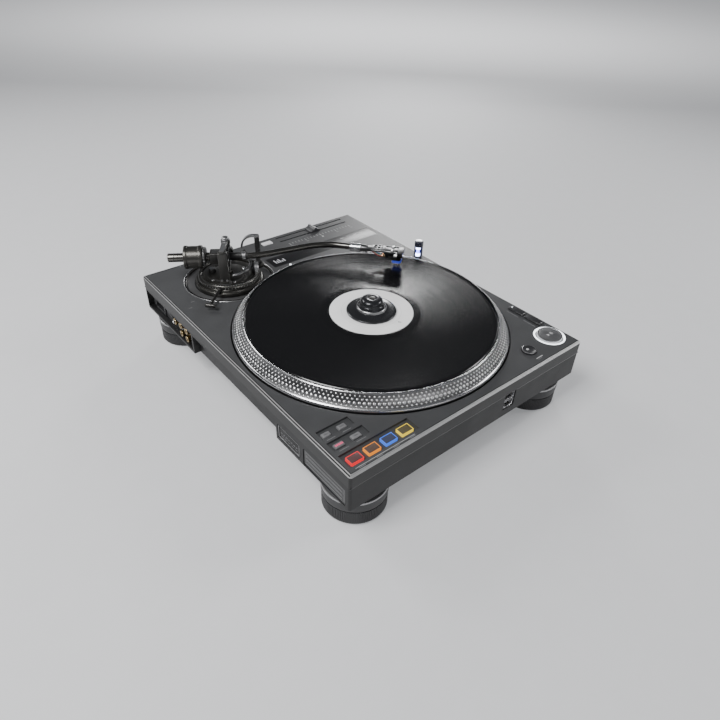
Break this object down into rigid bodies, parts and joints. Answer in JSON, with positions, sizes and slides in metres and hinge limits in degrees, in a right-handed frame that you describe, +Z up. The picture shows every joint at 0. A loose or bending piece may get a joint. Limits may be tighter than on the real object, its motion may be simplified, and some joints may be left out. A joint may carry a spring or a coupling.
{
  "type": "turntable record player",
  "caption": "Direct-drive record player with an S-shaped tonearm, pitch fader, lit pads and a clamped record on its platter.",
  "frame": {"origin": "on the floor under the middle of the case", "axes": "+X to the right and +Y to the back as the deck is used with its short side in front, +Z up"},
  "size_m": [0.353, 0.453, 0.1491],
  "materials": {
    "deck": "satin charcoal paint",
    "chassis": "matt black",
    "cover": "matt black paint",
    "panel": "satin dark grey",
    "plate": "satin, darkened",
    "gold": "gold plated",
    "socket": "matt black",
    "steel": "satin",
    "window": "gloss black",
    "light": "lit white, diffusing",
    "copper": "enamelled copper on steel",
    "board": "green solder resist",
    "supply": "varnished steel",
    "platter": "turned, satin grey",
    "magnet": "dark",
    "chrome": "polished",
    "felt": "black felt",
    "vinyl": "grooved gloss black",
    "paper": "white paper",
    "clamp": "satin black",
    "bronze": "satin grey-bronze",
    "black_metal": "satin black",
    "tube": "satin grey-bronze",
    "shell": "satin dark grey",
    "cartridge": "gloss black with gold pins",
    "stylus": "gloss blue",
    "satin_grey": "satin",
    "fader": "satin dark grey",
    "button_grey": "satin grey",
    "button_black": "satin black",
    "button_white": "satin white",
    "pad_red": "lit red rim",
    "pad_orange": "lit orange rim",
    "pad_blue": "lit blue rim",
    "pad_yellow": "lit yellow rim",
    "lamp": "gloss, dark with a blue light",
    "rubber": "matt, knurled"
  },
  "bodies": {
    "chassis": {"top_case": "deck", "lower_case": "chassis", "bottom_cover": "cover", "connector_panel": "panel", "signal_sockets": "gold", "power_inlet": "socket", "side_panels": "plate", "usb_ports": "steel", "display_window": "window", "status_lights": "light", "motor_stator": "copper", "bearing_housing": "gold", "main_board": "board", "power_supply": "supply"},
    "turning": {"platter": "platter", "rotor_magnet": "magnet", "spindle": "chrome", "slipmat": "felt", "record": "vinyl", "record_label": "paper"},
    "clamp": {"record_clamp": "clamp"},
    "ring": {"height_ring": "bronze"},
    "base": {"arm_base": "bronze", "yoke": "black_metal", "arm_rest": "black_metal"},
    "lock": {"height_lock_knob": "black_metal"},
    "clip": {"rest_clip": "satin_grey"},
    "lever": {"cue_lever": "black_metal"},
    "lift": {"lift_platform": "satin_grey"},
    "bias": {"antiskate_dial": "satin_grey"},
    "swing": {"gimbal": "black_metal"},
    "arm": {"arm_tube": "tube", "rear_stub": "tube", "headshell": "shell", "cartridge": "cartridge", "stylus": "stylus"},
    "weight": {"counterweight": "bronze"},
    "force": {"force_dial": "black_metal"},
    "collar": {"locking_collar": "chrome"},
    "fader": {"pitch_fader": "fader"},
    "start": {"start_button": "satin_grey"},
    "power": {"power_button": "button_black"},
    "speed_low": {"speed_button_low": "button_black"},
    "speed_high": {"speed_button_high": "button_black"},
    "reset": {"pitch_reset_button": "button_white"},
    "lamp": {"target_lamp": "lamp"},
    "pad_1": {"pad_1": "pad_red"},
    "pad_2": {"pad_2": "pad_orange"},
    "pad_3": {"pad_3": "pad_blue"},
    "pad_4": {"pad_4": "pad_yellow"},
    "function_1": {"function_button_1": "button_grey"},
    "function_2": {"function_button_2": "button_grey"},
    "function_3": {"function_button_3": "button_grey"},
    "function_4": {"function_button_4": "button_grey"},
    "foot_fl": {"foot_fl": "rubber"},
    "foot_fr": {"foot_fr": "rubber"},
    "foot_bl": {"foot_bl": "rubber"},
    "foot_br": {"foot_br": "rubber"}
  },
  "joints": [
    {"name": "platter_spin", "type": "hinge", "parent": "chassis", "child": "turning", "pos_m": [-0.0002, -0.0442, 0.098], "axis": [0, 0, 1], "continuous": true},
    {"name": "clamp_lift", "type": "slide", "parent": "turning", "child": "clamp", "axis": [0, 0, 1], "range_m": [0, 0.03]},
    {"name": "base_rise", "type": "slide", "parent": "chassis", "child": "base", "axis": [0, 0, 1], "range_m": [0, 0.006]},
    {"name": "ring_turn", "type": "hinge", "parent": "chassis", "child": "ring", "pos_m": [-0.0855, 0.1515, 0.088], "axis": [0, 0, 1], "range_deg": [-40, 0]},
    {"name": "lock_turn", "type": "hinge", "parent": "base", "child": "lock", "pos_m": [-0.10284, 0.16504, 0.1], "axis": [0, 0, 1], "range_deg": [-90, 0]},
    {"name": "clip_turn", "type": "hinge", "parent": "base", "child": "clip", "pos_m": [-0.03853, 0.15314, 0.136], "axis": [0, 0, 1], "range_deg": [-220, 0]},
    {"name": "cue_turn", "type": "hinge", "parent": "base", "child": "lever", "pos_m": [-0.0695, 0.17921, 0.102], "axis": [0.1736, -0.9848, 0], "range_deg": [0, 40]},
    {"name": "lift_rise", "type": "slide", "parent": "base", "child": "lift", "axis": [0, 0, 1], "range_m": [0, 0.0055]},
    {"name": "bias_turn", "type": "hinge", "parent": "base", "child": "bias", "pos_m": [-0.05432, 0.1335, 0.101], "axis": [0.866, -0.5, 0], "range_deg": [0, 270]},
    {"name": "arm_swing", "type": "hinge", "parent": "base", "child": "swing", "pos_m": [-0.0855, 0.1515, 0.121], "axis": [0, 0, 1], "range_deg": [-21, 19]},
    {"name": "arm_tilt", "type": "hinge", "parent": "swing", "child": "arm", "pos_m": [-0.0855, 0.1515, 0.121], "axis": [-0.5446, -0.8387, 0], "range_deg": [0, 4]},
    {"name": "weight_slide", "type": "slide", "parent": "arm", "child": "weight", "axis": [0.8387, -0.5446, 0.0061], "range_m": [-0.012, 0.001]},
    {"name": "force_turn", "type": "hinge", "parent": "weight", "child": "force", "pos_m": [-0.10982, 0.16729, 0.12082], "axis": [0.8387, -0.5446, 0.0061], "continuous": true},
    {"name": "collar_turn", "type": "hinge", "parent": "arm", "child": "collar", "pos_m": [0.06588, 0.07305, 0.12204], "axis": [0.6293, -0.7771, 0.0058], "range_deg": [-60, 0]},
    {"name": "fader_slide", "type": "slide", "parent": "chassis", "child": "fader", "axis": [1, 0, 0], "range_m": [-0.058, 0.054]},
    {"name": "start_push", "type": "slide", "parent": "chassis", "child": "start", "axis": [0, 0, -1], "range_m": [0, 0.0015], "stiffness_N_per_m": 400, "springref_m": -0.001},
    {"name": "power_push", "type": "slide", "parent": "chassis", "child": "power", "axis": [0, 0, -1], "range_m": [0, 0.0015], "stiffness_N_per_m": 400, "springref_m": -0.001},
    {"name": "speed_low_push", "type": "slide", "parent": "chassis", "child": "speed_low", "axis": [0, 0, -1], "range_m": [0, 0.0015], "stiffness_N_per_m": 400, "springref_m": -0.001},
    {"name": "speed_high_push", "type": "slide", "parent": "chassis", "child": "speed_high", "axis": [0, 0, -1], "range_m": [0, 0.0015], "stiffness_N_per_m": 400, "springref_m": -0.001},
    {"name": "pad_1_push", "type": "slide", "parent": "chassis", "child": "pad_1", "axis": [0, 0, -1], "range_m": [0, 0.0015], "stiffness_N_per_m": 400, "springref_m": -0.001},
    {"name": "pad_2_push", "type": "slide", "parent": "chassis", "child": "pad_2", "axis": [0, 0, -1], "range_m": [0, 0.0015], "stiffness_N_per_m": 400, "springref_m": -0.001},
    {"name": "pad_3_push", "type": "slide", "parent": "chassis", "child": "pad_3", "axis": [0, 0, -1], "range_m": [0, 0.0015], "stiffness_N_per_m": 400, "springref_m": -0.001},
    {"name": "pad_4_push", "type": "slide", "parent": "chassis", "child": "pad_4", "axis": [0, 0, -1], "range_m": [0, 0.0015], "stiffness_N_per_m": 400, "springref_m": -0.001},
    {"name": "function_1_push", "type": "slide", "parent": "chassis", "child": "function_1", "axis": [0, 0, -1], "range_m": [0, 0.0012], "stiffness_N_per_m": 400, "springref_m": -0.001},
    {"name": "function_2_push", "type": "slide", "parent": "chassis", "child": "function_2", "axis": [0, 0, -1], "range_m": [0, 0.0012], "stiffness_N_per_m": 400, "springref_m": -0.001},
    {"name": "function_3_push", "type": "slide", "parent": "chassis", "child": "function_3", "axis": [0, 0, -1], "range_m": [0, 0.0012], "stiffness_N_per_m": 400, "springref_m": -0.001},
    {"name": "function_4_push", "type": "slide", "parent": "chassis", "child": "function_4", "axis": [0, 0, -1], "range_m": [0, 0.0012], "stiffness_N_per_m": 400, "springref_m": -0.001},
    {"name": "reset_push", "type": "slide", "parent": "chassis", "child": "reset", "axis": [0, 0, -1], "range_m": [0, 0.001], "stiffness_N_per_m": 400, "springref_m": -0.001},
    {"name": "lamp_slide", "type": "slide", "parent": "chassis", "child": "lamp", "axis": [0, 0, -1], "range_m": [0, 0.029]},
    {"name": "foot_fl_turn", "type": "hinge", "parent": "chassis", "child": "foot_fl", "pos_m": [-0.1405, -0.1905, 0.028], "axis": [0, 0, 1], "continuous": true},
    {"name": "foot_fr_turn", "type": "hinge", "parent": "chassis", "child": "foot_fr", "pos_m": [0.1405, -0.1905, 0.028], "axis": [0, 0, 1], "continuous": true},
    {"name": "foot_bl_turn", "type": "hinge", "parent": "chassis", "child": "foot_bl", "pos_m": [-0.1405, 0.1905, 0.028], "axis": [0, 0, 1], "continuous": true},
    {"name": "foot_br_turn", "type": "hinge", "parent": "chassis", "child": "foot_br", "pos_m": [0.1405, 0.1905, 0.028], "axis": [0, 0, 1], "continuous": true}
  ],
  "couplings": [
    {"joint": "ring_turn", "follows": "base_rise", "rad_per_m": -116.36},
    {"joint": "lift_rise", "follows": "cue_turn", "m_per_rad": 0.007878}
  ]
}
